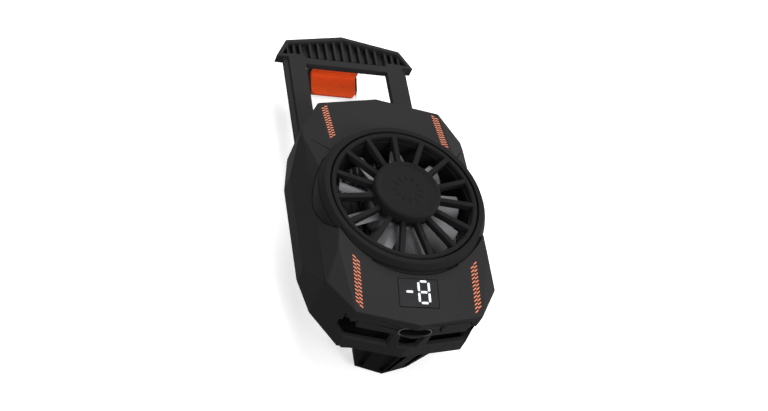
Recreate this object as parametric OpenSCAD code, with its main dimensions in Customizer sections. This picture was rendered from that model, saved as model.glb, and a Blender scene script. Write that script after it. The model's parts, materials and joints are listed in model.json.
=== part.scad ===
// Clamp-on phone cooling fan: faceted body, guarded fan, thermoelectric cold plate and a sliding jaw.
// Millimetres. The origin is the centre of the cold plate's face.
// +Z points out of the fan, +Y to the sliding jaw and +X to the right as seen from the front.

/* [Body] */
// half width at the belt round the rear edge
belt_x = 24.7; // [24.4:0.1:25.4]
// half length of the belt's straight sides
belt_y = 14.2; // [13:0.1:16]
// height where the side flare meets the belt
belt_z = 9.7; // [9:0.1:11]
// half width at the front side edges
front_x = 22.65; // [22.4:0.05:23]
// height of the front side edges
front_z = 18.4; // [18:0.1:18.8]
// height of the rear edge
rear_z = 4.1; // [4:0.05:4.3]
// distance of the upper side corners from the fan axis
upper_y = 24.5; // [24:0.1:25]
// height of the upper side corners
upper_z = 17.8; // [17.5:0.1:18.2]
// half width of the top edge
top_x = 17.2; // [16.5:0.1:17.8]
// distance of the top corners from the fan axis
top_y = 32.8; // [32:0.1:33.5]
// distance of the top ridge from the fan axis
crown_y = 36.7; // [36:0.1:37.5]
// distance of the lower side corners from the fan axis
lower_y = 23.5; // [23:0.1:24]
// height of the lower side corners
lower_z = 18.95; // [18.7:0.05:19.2]
// half width of the bottom edge
bottom_x = 16.7; // [16.4:0.1:17.2]
// distance of the bottom corners from the fan axis
bottom_y = 32.8; // [32.6:0.1:33.2]
// distance of the bottom ridge from the fan axis
keel_y = 35.65; // [35.4:0.05:36]
// height of the lower panel's plane at the fan axis
low_z = 27.48; // [27.3:0.02:27.6]
// backward lean of the lower panel in degrees
low_tilt = 12.3; // [12:0.1:12.6]
// height of the upper panel's plane at the fan axis
up_z = 25.58; // [25.3:0.02:25.8]
// backward lean of the upper panel in degrees
up_tilt = 11.3; // [11:0.1:11.8]
// half width of the upper panel at the lower end of its side folds
up_fold_x = 17.5; // [17.2:0.1:18]
// distance of that fold end from the fan axis
up_fold_y = 16; // [15:0.5:17]
// half width of the lower panel at the upper end of its side folds
low_fold_x = 20.4; // [20:0.1:20.8]
// distance of that fold end from the fan axis
low_fold_y = 14; // [13:0.5:15]
// rise over run of the steep cheeks beside the fan
cheek_slope = 2; // [1.8:0.1:2.2]
// wall thickness
wall = 1.6; // [1.5:0.05:1.7]

/* [Vents and sockets] */
// height of the vent slots' rear edge
vent_z = 8.6; // [8.2:0.1:9]
// height of the vent slots
vent_h = 5.2; // [4.8:0.1:5.3]
// distance of the long slots' outer ends from the middle
vent_out_x = 18.2; // [17.8:0.1:18.4]
// cut of the long slots' outer corners
vent_cut = 1.4; // [1:0.1:1.8]
// distance from the middle where the raised notch over a long slot begins
notch_x = 14.7; // [14:0.1:15.5]
// height of that notch over the slot
notch_h = 2.7; // [2:0.1:3]
// fall of the notch towards its outer end
notch_fall = 1; // [0.8:0.1:1.2]
// distance from the middle where the recess beside the notch ends
notch_end = 17.8; // [17.5:0.1:18]
// depth of that recess
notch_in = 0.5; // [0.4:0.05:0.6]
// width of the bevel along the long slots' rear edges
vent_bevel = 0.5; // [0.3:0.05:0.7]
// how much the middle slot narrows towards the rear on each side
vent_taper = 0.9; // [0.6:0.1:1.2]
// bridge between the middle slot and the socket
vent_bridge = 0.35; // [0.3:0.05:0.6]
// distance of the top outlets from the middle
outlet_x = 2; // [1.5:0.1:3]
// width of a top outlet
outlet_w = 11; // [9:0.1:11.5]
// distance of the posts' outer faces from the middle
post_out_x = 4.95; // [4.8:0.05:5.2]
// distance of the posts' inner faces from the middle
post_in_x = 3.3; // [3.2:0.05:3.5]
// height of the socket's middle
usb_z = 15.3; // [15.2:0.05:15.4]
// outer width of the socket shell
usb_w = 8.94; // [8.9:0.02:8.98]
// outer height of the socket shell
usb_h = 3.26; // [3.2:0.02:3.3]
// length of the socket shell
usb_l = 7.3; // [7:0.1:7.5]
// sheet thickness of the socket shell
usb_t = 0.3; // [0.25:0.05:0.35]
// how far the socket shell stands back from the wall's ridge
usb_back = 0.7; // [0.6:0.05:0.8]
// width of the socket's contact tongue
tongue_w = 6.7; // [6.6:0.05:6.8]
// thickness of the socket's contact tongue
tongue_t = 0.7; // [0.65:0.05:0.75]
// how far the contact tongue stands back from the shell's mouth
tongue_back = 1.1; // [1:0.1:1.3]
// thickness of the block at the back of the socket
usb_plug_t = 1.2; // [1:0.1:1.4]
// play round the socket in the wall
usb_play = 0.12; // [0.1:0.01:0.2]

/* [Fan] */
// width of the bezel's flat rim outside the groove
rim_face = 1.3; // [1.2:0.05:1.35]
// how far the bezel's four lobes stand out of its round wall
lobe_out = 0.4; // [0.3:0.05:0.6]
// half angle of a lobe in degrees
lobe_half = 30; // [28:0.5:32]
// height of the bezel's front face
ring_z = 25.2; // [25:0.1:25.4]
// width of the slope round the bezel's front face
slope_w = 0.95; // [0.8:0.05:1.1]
// depth of that slope
slope_h = 1.5; // [1.3:0.1:1.7]
// height of the lobes' front face
lobe_z = 22.65; // [22.5:0.05:22.8]
// height of the bezel's seat in the body
seat_z = 17.6; // [17.4:0.1:17.8]
// play between the bezel and the body
ring_play = 0.1; // [0.05:0.01:0.12]
// radius of the groove round the guard
groove_r = 20; // [19.9:0.05:20.2]
// width of the groove round the guard
groove_w = 0.4; // [0.3:0.05:0.5]
// width of the guard's ring
guard_w = 1.3; // [1.2:0.05:1.5]
// thickness of the guard's ring
guard_t = 2; // [2:0.05:2.2]
// number of guard spokes
spokes = 15; // [12:1:18]
// width of a spoke
spoke_w = 1.3; // [1:0.1:1.6]
// thickness of a spoke
spoke_t = 1.8; // [1.4:0.1:1.8]
// how far the spokes lie behind the guard's face
spoke_drop = 0.2; // [0.1:0.05:0.3]
// bevel of the guard ring's edges
guard_bevel = 0.35; // [0.3:0.05:0.4]
// depth of the guard's hub behind its face
hub_t = 2.4; // [2.3:0.05:2.5]
// how far the hub cap overhangs the hub
cap_over = 0.3; // [0.2:0.05:0.4]
// radius of the hub cap
cap_r = 8.9; // [8.6:0.1:9.2]
// height of the hub cap's face
cap_z = 27.45; // [27.2:0.05:27.6]
// rounding of the hub cap's rim
cap_round = 0.8; // [0.6:0.1:1]
// width of the hub cap's rim up to the dish
rim_w = 0.8; // [0.8:0.05:1]
// width of the dish's slope
dish_w = 1; // [0.8:0.05:1.1]
// depth of the hub cap's dish
dish_h = 0.6; // [0.5:0.05:0.7]
// number of ticks in the hub cap's motif
ticks = 12; // [8:1:16]
// distance of the ticks from the axis
tick_r = 2.6; // [2.2:0.1:3]
// length of a tick
tick_l = 1.6; // [1.2:0.1:2]
// width of a tick
tick_w = 0.4; // [0.3:0.05:0.5]
// depth of a tick
tick_h = 0.15; // [0.1:0.05:0.2]
// ledge of the air duct under the guard's ring
duct_ledge = 0.3; // [0.2:0.05:0.4]
// wall of the air duct behind the bezel
duct_wall = 1.2; // [1:0.05:1.4]
// gap between the heat sink and the air duct
duct_gap = 0.4; // [0.3:0.05:0.6]
// gap between the blade tips and the duct
tip_gap = 1.5; // [1.2:0.1:1.8]
// number of blades
blades = 9; // [7:1:11]
// radius of the curve of a blade
blade_curve = 8; // [7.5:0.1:9]
// sideways place of the blade curve's middle
blade_y = 5.4; // [5:0.1:5.8]
// how far the blade curve's middle lies behind the impeller
blade_drop = 1.2; // [1:0.1:1.4]
// how far a blade's edges lie inside the cup's height
blade_edge = 0.3; // [0.2:0.05:0.4]
// thickness of a blade
blade_t = 0.8; // [0.7:0.05:0.9]
// height of the impeller's rear face
rotor_z = 14.7; // [14.6:0.05:14.9]
// height of the impeller's cup
rotor_h = 6.8; // [6.6:0.1:6.9]
// outer radius of the impeller's cup
rotor_r = 8.2; // [8:0.1:8.4]
// wall of the impeller's cup
rotor_wall = 0.9; // [0.8:0.05:1]
// floor of the impeller's cup
rotor_floor = 1; // [0.9:0.05:1.1]
// radius of the boss that holds the shaft
rotor_boss_r = 1.6; // [1.5:0.05:1.7]
// height of that boss
rotor_boss_h = 1.8; // [1.7:0.05:1.9]
// height of the magnet ring
magnet_h = 5; // [4.6:0.1:5.1]
// gap between the cup's floor and the magnet ring
magnet_gap = 0.5; // [0.4:0.05:0.6]
// length of the rotor shaft
shaft_l = 7; // [6.8:0.1:7.1]
// radius of the rotor shaft
shaft_r = 0.75; // [0.7:0.05:0.8]
// running clearance of the shaft in its bearing
shaft_play = 0.03; // [0.02:0.01:0.05]
// outer radius of the bearing sleeve
bearing_r = 1.5; // [1.4:0.05:1.6]
// length of the bearing sleeve
bearing_l = 5; // [4.8:0.1:5.1]
// outer radius of the bearing tube
tube_r = 2.1; // [2.05:0.05:2.2]
// outer radius of the stator
stator_r = 5.9; // [5.7:0.05:6]
// height of the stator's stack over the impeller's rear face
core_up = 2.5; // [2.4:0.05:2.6]
// height of the stator's stack
core_h = 3.2; // [3:0.1:3.3]
// radius of the stator's yoke
yoke_r = 3.1; // [3:0.05:3.2]
// width of a stator tooth
tooth_w = 1.2; // [1.1:0.05:1.3]
// thickness of a stator pole shoe
shoe_t = 0.9; // [0.8:0.05:1]
// half angle of a stator pole shoe in degrees
shoe_half = 32; // [30:1:34]
// thickness of a winding round its tooth
coil_t = 0.6; // [0.55:0.01:0.62]
// how far a winding is clear of the yoke and the pole shoe
coil_play = 0.2; // [0.18:0.01:0.25]
// thickness of the motor board
motor_board_t = 0.8; // [0.7:0.05:0.85]
// play of the motor board inside the magnet's cup
motor_board_play = 0.4; // [0.35:0.05:0.6]
// air gap between the stator and the magnet
air_gap = 0.45; // [0.35:0.05:0.5]

/* [Cooling stack] */
// width of the cold plate's face
cold_w = 21; // [20.5:0.1:21.2]
// length of the cold plate's face
cold_l = 41; // [40:0.5:42]
// step round the cold plate that holds it in the cover
cold_step = 0.5; // [0.4:0.05:0.6]
// thickness of the cold plate
cold_t = 3.2; // [3.1:0.05:3.3]
// play of the cold plate in the cover's window
cold_play = 0.1; // [0.08:0.01:0.15]
// how far the thermoelectric module lies inside the cold plate's edge
tec_in = 0.5; // [0.4:0.05:0.6]
// thickness of the thermoelectric module
tec_t = 3.4; // [3.35:0.05:3.5]
// thickness of each ceramic plate of the module
ceramic_t = 0.8; // [0.7:0.05:0.9]
// play between the module and the gasket round it
gasket_play = 0.1; // [0.08:0.01:0.15]
// how far the heat sink overhangs the module on each long side
sink_over = 7.5; // [6.5:0.1:8]
// thickness of the heat sink's base
sink_base = 2; // [1.8:0.1:2.2]
// height of the heat sink's top
sink_z = 13.3; // [13:0.1:13.4]
// number of fins
fins = 21; // [15:1:23]
// thickness of a fin
fin_t = 0.5; // [0.4:0.05:0.6]

/* [Display and button] */
// width of the display window
win_w = 10.3; // [10:0.1:10.6]
// height of the display window
win_h = 7.2; // [7:0.1:7.3]
// distance of the window's top edge from the fan axis along the panel
win_top = 24.5; // [24.4:0.05:24.7]
// thickness of the display window
win_t = 0.9; // [0.8:0.05:1]
// play of the window in its recess
win_play = 0.15; // [0.1:0.01:0.2]
// ledge that the window rests on
win_ledge = 0.5; // [0.4:0.05:0.6]
// how much larger the display module is than the window on each side
module_over = 0.6; // [0.5:0.05:0.7]
// thickness of the display module
module_t = 1.9; // [1.8:0.05:2]
// width of the digit between its stroke middles
digit_w = 2.7; // [2.5:0.1:2.9]
// height of the digit between its stroke middles
digit_h = 5.6; // [5.4:0.1:5.7]
// how far the readout lies above the window's middle
digit_up = 0.3; // [0.2:0.05:0.35]
// distance of the digit from the middle
digit_x = 1.5; // [1.3:0.1:1.7]
// distance of the minus sign from the middle
minus_x = 2.3; // [2.2:0.1:2.4]
// stroke width of the readout
stroke = 0.6; // [0.5:0.05:0.7]
// gap that shortens each bar of the readout
bar_gap = 0.45; // [0.4:0.05:0.5]
// length of the push button
button_l = 8.2; // [8:0.1:8.6]
// height of the push button
button_h = 2.6; // [2.4:0.1:2.8]
// distance of the button's middle from the bottom ridge along the wall
button_x = 10.6; // [10.4:0.1:10.8]
// height of the button's middle
button_z = 16.95; // [16.9:0.05:17]
// travel of the button
button_travel = 0.4; // [0.3:0.05:0.5]
// how far the button stands proud of the wall
button_proud = 0.5; // [0.45:0.05:0.6]
// length of the button's shank behind the wall
button_shank = 0.6; // [0.5:0.05:0.7]
// overhang of the button's flange at each end
flange_l = 0.9; // [0.8:0.05:1]
// thickness of the button's flange
flange_t = 0.9; // [0.8:0.05:0.95]
// gap between the flange and the wall
flange_gap = 0.1; // [0.08:0.01:0.12]
// width of the switch body
switch_w = 4.4; // [4:0.1:4.6]
// depth of the switch body
switch_d = 2.4; // [2.2:0.1:2.6]
// height of the switch body
switch_h = 3.1; // [3:0.1:3.2]
// width of the switch's plunger
plunger_w = 2; // [1.8:0.1:2.2]
// length of the switch's plunger
plunger_l = 0.6; // [0.55:0.05:0.7]
// half width of the control board
board_x = 14.5; // [14:0.1:14.6]
// distance of the control board's inner edge from the fan axis
board_y = 24.4; // [24.2:0.1:24.8]
// thickness of the control board
board_t = 1; // [0.9:0.05:1.1]
// gap between the control board and the walls
board_gap = 0.3; // [0.25:0.05:0.4]
// width of the control board's chip
chip_w = 4; // [3.5:0.1:4.5]
// height of the control board's chip
chip_h = 0.9; // [0.8:0.05:1]
// length of a small part on the control board
part_l = 1.2; // [1:0.1:1.4]
// play round the button in the wall
button_play = 0.2; // [0.15:0.01:0.25]

/* [Clamp] */
// distance of a leg's inner face from the middle
leg_in_x = 12.35; // [12.3:0.05:12.4]
// distance of a leg's outer face from the middle
leg_out_x = 17.3; // [17.2:0.05:17.4]
// width of the rail on a leg's outer side
rail_w = 1.4; // [1.2:0.1:1.5]
// thickness of that rail
rail_t = 1; // [0.9:0.05:1.2]
// height of the legs' front face
leg_z = 3.15; // [3.1:0.05:3.2]
// thickness of a leg
leg_t = 2.1; // [2:0.05:2.15]
// top end of the legs, under the roof
leg_top = 64.1; // [63.8:0.1:64.4]
// distance of the legs' inner ends from the fan axis
leg_end_y = 14; // [13:0.5:16]
// play of a leg in its tunnel
leg_play = 0.1; // [0.08:0.01:0.12]
// lower edge of the crossbar
bar_y = 60.7; // [60.5:0.1:61]
// height of the crossbar's front face along the slide
bar_h = 2.8; // [2.6:0.1:3]
// bevel of the crossbar's upper edge
bar_bevel = 0.7; // [0.5:0.05:0.9]
// how far the web lies behind the crossbar's lower edge
web_back = 1.8; // [1.6:0.1:2]
// ridge of the gable roof
roof_y = 72.5; // [72:0.1:73]
// half width of the roof's long slopes
roof_x = 17.4; // [17.2:0.1:17.6]
// where the long slopes end
roof_corner_y = 69; // [68.8:0.1:69.2]
// half width of the roof's ends
eave_x = 20.85; // [20.6:0.05:21.1]
// where the roof ends
eave_y = 62.8; // [62.6:0.1:63.1]
// thickness of the roof
roof_t = 1.1; // [1:0.05:1.2]
// height of the roof's rear edge
roof_z = 0.05; // [0:0.05:0.2]
// thickness of the web behind the ribs
web_t = 0.6; // [0.5:0.05:0.8]
// number of ribs between the legs
mid_ribs = 9; // [7:2:11]
// thickness of a rib
rib_t = 0.7; // [0.6:0.1:0.9]
// distance of the outermost of those ribs from the middle
rib_x = 10; // [9.5:0.1:10.5]
// distance between the ribs over a leg
leg_rib_step = 2; // [1.9:0.1:2.1]
// how far the ribs lie behind the crossbar's face
rib_back = 0.8; // [0.7:0.1:0.9]
// rim of the hook's lip round the jaw pad
lip_rim = 0.65; // [0.5:0.05:0.8]
// how far the pad's tip stands out past the lip
lip_back = 0.4; // [0.3:0.05:0.6]
// how far that rim stays below the pad's face
rim_drop = 0.2; // [0.1:0.05:0.3]
// thickness of the lip
lip_t = 1; // [0.9:0.1:1.2]
// thickness of the bridge from the roof to the lip
bridge_t = 2; // [1.8:0.1:2.1]
// backward lean of the lip in degrees
lip_tilt = 19; // [17:0.5:21]
// seat of the upper hook at rest
hook_y = 67.6; // [67.4:0.1:67.8]
// height of the lip's root
lip_z = -9; // [-9.2:0.1:-8.8]
// half width of the jaw pad
pad_x = 6.9; // [6.6:0.1:7.1]
// length of the jaw pad on the lip
pad_l = 6.5; // [6.2:0.1:6.8]
// thickness of the jaw pad
pad_t = 1.4; // [1.2:0.1:1.5]
// thickness of the jaw pad on the hook's seat
seat_pad_t = 1; // [0.8:0.1:1.2]
// gap between the jaw pad and the roof's rear edge
seat_pad_gap = 0.6; // [0.5:0.1:0.8]
// corner radius of the jaw pad
pad_r = 1.5; // [1.2:0.1:1.8]

/* [Back cover and lower hook] */
// half width of the raised block
block_x = 19.5; // [19.4:0.05:19.6]
// top end of the raised block
block_top = 29; // [28.5:0.1:29.2]
// bottom end of the raised block
block_bottom = -31; // [-31.3:0.1:-30.8]
// half width of the raised block's bottom end
heel_x = 14; // [13.8:0.1:14.4]
// where its lower corner cuts begin
heel_y = -22.4; // [-22.6:0.1:-22]
// upper corner cut of the raised block
block_cut = 3; // [2:0.5:4]
// height of the block's rear face
block_z = 0.3; // [0.2:0.05:0.4]
// thickness of the cover's plate
plate_t = 2.2; // [2.1:0.05:2.25]
// play between the cover and the body
cover_play = 0.15; // [0.1:0.01:0.2]
// inner end of the leg tunnels
tunnel_end = -16.8; // [-18:0.1:-16.5]
// seat of the lower hook
low_seat = -29.5; // [-29.8:0.1:-29.3]
// half width of the lower hook at its root
tongue_x = 12; // [11.5:0.1:12.5]
// half width of the lower hook at its end
tongue_end_x = 7.1; // [6.8:0.1:7.4]
// height of the lower hook's rear face
tongue_z = -9.6; // [-9.9:0.1:-9.4]
// rise of the lower hook's underside in degrees
tongue_tilt = 12; // [11:0.5:13]
// rise over run of the lower hook's two undersides
tongue_slope = 0.3; // [0.25:0.01:0.32]
// how far the lower hook's ridge lies inside the body's ridge
tongue_back_y = 0.15; // [0.1:0.05:0.3]
// depth of the hollows in the lower hook
hollow_h = 0.9; // [0.6:0.1:1]
// how far the hollows end before the hook's rear face
hollow_up = 1.3; // [1:0.1:1.6]
// edges of an inner hollow at the hook's root and at its end, from the middle
hollow_in = [0.3, 2.8, 0, 1.2]; // [0:0.1:4]
// edges of an outer hollow at the hook's root and at its end, from the middle
hollow_out = [6.5, 8.8, 5.2, 6.5]; // [4.5:0.1:9]
// corner cut of the lower lip
low_lip_cut = 2; // [1.5:0.1:2.4]
// thickness of the lower lip
low_lip_t = 1.3; // [1.2:0.1:1.5]
// top of the lower lip
low_lip_y = -23.5; // [-24:0.1:-23]
// thickness of the lower pad
low_pad_t = 0.6; // [0.5:0.05:0.7]
// gap between the lower pad and the cold plate's plane
low_pad_gap = 1; // [0.8:0.1:1.2]
// how far the lower pad ends before the lower lip
low_pad_end = 0.8; // [0.6:0.1:1]
// half width of the lower pad
low_pad_x = 5.8; // [5.4:0.1:6]

/* [Screws] */
// distance of the screws from the middle
screw_x = 21.2; // [21.15:0.05:21.3]
// distance of the screws from the fan axis
screw_y = 10.5; // [10:0.1:12]
// radius of a screw's shank
screw_r = 0.8; // [0.75:0.05:0.85]
// play of a screw and its head in the cover
screw_play = 0.1; // [0.08:0.01:0.15]
// wall of the boss round a screw
boss_wall = 1.15; // [1.1:0.05:1.2]
// height of the bosses' ends
boss_z = 12.8; // [12.4:0.1:13]
// length of the cross recess in a screw's head
cross_l = 1.6; // [1.4:0.1:1.8]
// width of the cross recess
cross_w = 0.4; // [0.35:0.05:0.45]
// depth of the cross recess
cross_h = 0.6; // [0.5:0.05:0.7]
// radius of a screw's head
head_r = 1.4; // [1.3:0.05:1.45]
// height of a screw's head
head_h = 1; // [0.9:0.05:1.1]
// length of a screw's shank
screw_l = 6.5; // [6:0.1:7]

/* [Hidden] */
$fn = 72;
// half side of the blocks that cut away everything behind a plane
big = 80;
// overlap that lets cuts pass cleanly
eps = 0.02;
// how far one form sinks into the next where they are joined
bite = 0.5;
// turn of the spokes that puts one at the top
spoke_turn = 90;
// sizes of the cooling stack
plate_z = rear_z + plate_t;
tec_w = cold_w - 2 * tec_in;
tec_l = cold_l - 2 * tec_in;
sink_w = tec_w + 2 * sink_over;
sink_l = tec_l;
sink_rear = cold_t + tec_t;
// sizes of the fan and its motor
ring_r = groove_r + rim_face + slope_w;
lobe_r = ring_r + lobe_out;
guard_out_r = groove_r - groove_w;
guard_in_r = guard_out_r - guard_w;
duct_r = guard_in_r - duct_ledge;
tip_r = duct_r - tip_gap;
cup_in_r = rotor_r - rotor_wall;
hub_r = cap_r - cap_over;
guard_z = ring_z - guard_t;
hub_rear = ring_z - hub_t;
cap_rear = ring_z - spoke_drop + eps;
magnet_r = stator_r + air_gap;
core_z = rotor_z + core_up;
tube_rear = core_z - bite;
shoe_r = stator_r - shoe_t;
shoe_y = 2 * stator_r * tan(shoe_half);
coil_end = sqrt(pow(shoe_r, 2) - pow(tooth_w / 2 + coil_t, 2)) - coil_play;
coil_l = coil_end - yoke_r - coil_play;
// places of the clamp
rail_x = leg_out_x + rail_w;
leg_rear = leg_z - leg_t;
lip_x = pad_x + lip_rim;
low_lip_z = tongue_z + low_lip_t;
// places in the body
boss_r = screw_r + boss_wall;
keel_turn = atan2(keel_y - bottom_y, bottom_x);
board_z = usb_z - board_t - usb_play;
usb_y = usb_back - keel_y;
win_y = -win_top - win_h;

// heights of the lower and the upper panel's plane at a distance from the fan axis
function low(y) = low_z + y * tan(low_tilt);
function up(y) = up_z - y * tan(up_tilt);

// outline of the body seen from the front, anticlockwise
outline = [[0, -keel_y], [bottom_x, -bottom_y], [front_x, -lower_y], [belt_x, -belt_y], [belt_x, belt_y],
  [front_x, upper_y], [top_x, top_y], [0, crown_y], [-top_x, top_y], [-front_x, upper_y],
  [-belt_x, belt_y], [-belt_x, -belt_y], [-front_x, -lower_y], [-bottom_x, -bottom_y]];

// a convex outline moved inwards by t
function out_dir(p, q) = [q.y - p.y, p.x - q.x] / norm(q - p);
function meet(n, a, m, b) = [a * m.y - b * n.y, n.x * b - m.x * a] / (n.x * m.y - n.y * m.x);
function corner(a, b, c, t) = let (n = out_dir(a, b), m = out_dir(b, c)) meet(n, n * b - t, m, m * b - t);
function inset(pts, t) = let (k = len(pts)) [for (i = [0 : k - 1])
  corner(pts[(i + k - 1) % k], pts[i], pts[(i + 1) % k], t)];

// a plane as its outward direction and its distance from the origin
function through(a, b, c) = let (v = cross(b - a, c - a), n = (v.z < 0 ? -v : v) / norm(v)) [n, n * a];
function along(v, p) = let (n = v / norm(v)) [n, n * p];
function flip(h) = [[-h[0].x, h[0].y, h[0].z], h[1]];

brow = through([top_x, top_y, up(top_y)], [up_fold_x, up_fold_y, up(up_fold_y)], [front_x, upper_y, upper_z]);
jowl = through([low_fold_x, -low_fold_y, low(-low_fold_y)], [bottom_x, -bottom_y, low(-bottom_y)],
  [front_x, -lower_y, lower_z]);
cheek = along([cheek_slope, 0, 1], [front_x, 0, front_z]);
flare = along([front_z - belt_z, 0, belt_x - front_x], [front_x, 0, front_z]);
upper_panel = along([0, sin(up_tilt), cos(up_tilt)], [0, 0, up_z]);
lower_panel = along([0, -sin(low_tilt), cos(low_tilt)], [0, 0, low_z]);
planes = [upper_panel, lower_panel, brow, flip(brow), jowl, flip(jowl), cheek, flip(cheek), flare,
  flip(flare)];

// everything behind a plane
module behind(h, t) {
  n = h[0];
  rotate([0, acos(n.z), atan2(n.y, n.x)])
    translate([-big, -big, h[1] - t - 2 * big])
      cube(2 * big);
}

// the faceted body with all its faces moved inwards by t, from height z0 up
module gem(t, z0) {
  intersection() {
    translate([0, 0, z0])
      linear_extrude(30)
        polygon(inset(outline, t));
    intersection_for(h = planes) behind(h, t);
  }
}

// places on the lower panel, and on the right half of the bottom wall with y running inwards
module on_panel() {
  translate([0, 0, low_z])
    rotate([low_tilt, 0, 0])
      children();
}
module on_keel() {
  translate([0, -keel_y, 0])
    rotate([0, 0, keel_turn])
      children();
}

// flat bar with round ends, w long and h wide, lying along x
module oblong(w, h) {
  square([w - h, h], center = true);
  for (s = [-1, 1]) translate([s * (w - h) / 2, 0]) circle(d = h);
}

// oblong rod along y from y0, d long
module rod(w, h, y0, d) {
  translate([0, y0 + d, 0])
    rotate([90, 0, 0])
      linear_extrude(d)
        oblong(w, h);
}

// outline of the bezel with its lobes, c larger all round
module lobed(c) {
  circle(ring_r + c);
  for (a = [0 : 90 : 270]) rotate(a) intersection() {
    circle(lobe_r + c);
    polygon([[0, 0], [30, -30 * tan(lobe_half + 2 * c)], [30, 30 * tan(lobe_half + 2 * c)]]);
  }
}

// the four screw places
module at_screws() {
  for (x = [-1, 1], y = [-1, 1]) translate([x * screw_x, y * screw_y, 0]) children();
}

// both legs' sides
module both_sides() {
  for (s = [0, 1]) mirror([s, 0, 0]) children();
}

// vent openings in the bottom wall, seen along y
vent_top = vent_z + vent_h;
module vent_shapes() {
  for (s = [0, 1]) mirror([s, 0])
    polygon([[post_out_x, vent_z], [vent_out_x - vent_cut, vent_z], [vent_out_x, vent_z + vent_cut],
      [vent_out_x, vent_top - notch_fall], [bottom_x, vent_top + notch_h - notch_fall],
      [notch_x, vent_top + notch_h], [notch_x, vent_top], [post_out_x, vent_top]]);
  polygon([[vent_taper - post_in_x, vent_z], [post_in_x - vent_taper, vent_z],
    [post_in_x, usb_z - usb_h / 2 - vent_bridge], [-post_in_x, usb_z - usb_h / 2 - vent_bridge]]);
}

module front_shell() {
  color("#3a3a3c")
  difference() {
    union() {
      difference() {
        gem(0, rear_z);
        gem(wall, rear_z - 1);
      }
      intersection() {
        gem(wall / 2, rear_z);
        at_screws() translate([0, 0, plate_z + eps]) cylinder(r = boss_r, h = boss_z - plate_z);
      }
    }
    translate([0, 0, seat_z - ring_play]) linear_extrude(big) lobed(ring_play);
    at_screws() translate([0, 0, plate_z - 1]) cylinder(r = screw_r + eps, h = screw_l);
    // display window and its light opening
    on_panel() translate([-win_w / 2 - win_play, win_y - win_play, -win_t - eps])
      cube([win_w + 2 * win_play, win_h + 2 * win_play, 2 * win_t]);
    on_panel() translate([-win_w / 2 + win_ledge, win_y + win_ledge, -2 * wall])
      cube([win_w - 2 * win_ledge, win_h - 2 * win_ledge, 3 * wall]);
    // vents, socket and button in the bottom wall
    translate([0, -lower_y - 4, 0]) rotate([90, 0, 0]) linear_extrude(big) vent_shapes();
    difference() {
      translate([0, -lower_y, 0]) rotate([90, 0, 0]) linear_extrude(big) both_sides()
        polygon([[bottom_x, vent_top], [notch_end, vent_top - notch_fall], [notch_end, vent_top + notch_h],
          [bottom_x, vent_top + notch_h]]);
      gem(notch_in, rear_z);
    }
    both_sides() on_keel() translate([post_out_x, 0, vent_z + eps]) rotate([90, 0, 90])
      linear_extrude(bottom_x - post_out_x)
        polygon([[-1, 0], [vent_bevel, 0], [0, -vent_bevel], [-1, -vent_bevel]]);
    translate([0, 0, usb_z]) rod(usb_w + 2 * usb_play, usb_h + 2 * usb_play, -keel_y - 2, 3 * wall);
    on_keel() translate([button_x, 0, button_z])
      rod(button_l + 2 * button_play, button_h + 2 * button_play, -1, 2 * wall);
    // air outlets in the top wall
    both_sides() translate([outlet_x, top_y - 2 * wall, vent_z]) cube([outlet_w, big, vent_h]);
  }
}

// outline of the raised block on the cover
block_shape = [[-heel_x, block_bottom], [heel_x, block_bottom],
  [block_x, heel_y], [block_x, block_top - block_cut], [block_x - block_cut, block_top],
  [block_cut - block_x, block_top], [-block_x, block_top - block_cut], [-block_x, heel_y]];

// profile of a leg and its rail, p larger all round
module leg_shape(p) {
  translate([leg_in_x - p, leg_rear - p]) square([leg_out_x - leg_in_x + 2 * p, leg_t + 2 * p]);
  translate([leg_in_x - p, leg_rear - p]) square([rail_x - leg_in_x + 2 * p, rail_t + 2 * p]);
}

// places on the ridge of the lower hook
module on_ridge() {
  translate([0, tongue_back_y - keel_y, rear_z])
    rotate([tongue_tilt, 0, 0])
      children();
}

// everything above the hook's two undersides moved inwards by t
module over_ridge(t) {
  side = 2 * tongue_x;
  rise = side * tongue_slope;
  on_ridge() translate([0, t, -big]) linear_extrude(2 * big)
    polygon([[0, 0], [side, rise], [side, side], [-side, side], [-side, rise]]);
}

// a tapered slab from the lower seat down, from half widths a and b at the root to c and d at the end
module slab(a, b, c, d) {
  translate([0, low_seat, 0]) rotate([90, 0, 0]) linear_extrude(big)
    polygon([[a, rear_z], [b, rear_z], [d, tongue_z], [c, tongue_z]]);
}

// the fixed hook below the body
module lower_hook() {
  difference() {
    intersection() {
      slab(-tongue_x, tongue_x, -tongue_end_x, tongue_end_x);
      over_ridge(0);
    }
    // shallow hollows each side of the ridge, between the ribs
    difference() {
      both_sides() for (h = [hollow_in, hollow_out]) slab(h[0], h[1], h[2], h[3]);
      over_ridge(hollow_h);
      translate([-big, -big, tongue_z + hollow_up - 2 * big]) cube(2 * big);
    }
  }
  translate([0, 0, tongue_z]) linear_extrude(low_lip_t)
    polygon([[-tongue_end_x, low_seat - bite], [tongue_end_x, low_seat - bite],
      [tongue_end_x, low_lip_y - low_lip_cut], [tongue_end_x - low_lip_cut, low_lip_y],
      [low_lip_cut - tongue_end_x, low_lip_y], [-tongue_end_x, low_lip_y - low_lip_cut]]);
}

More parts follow.
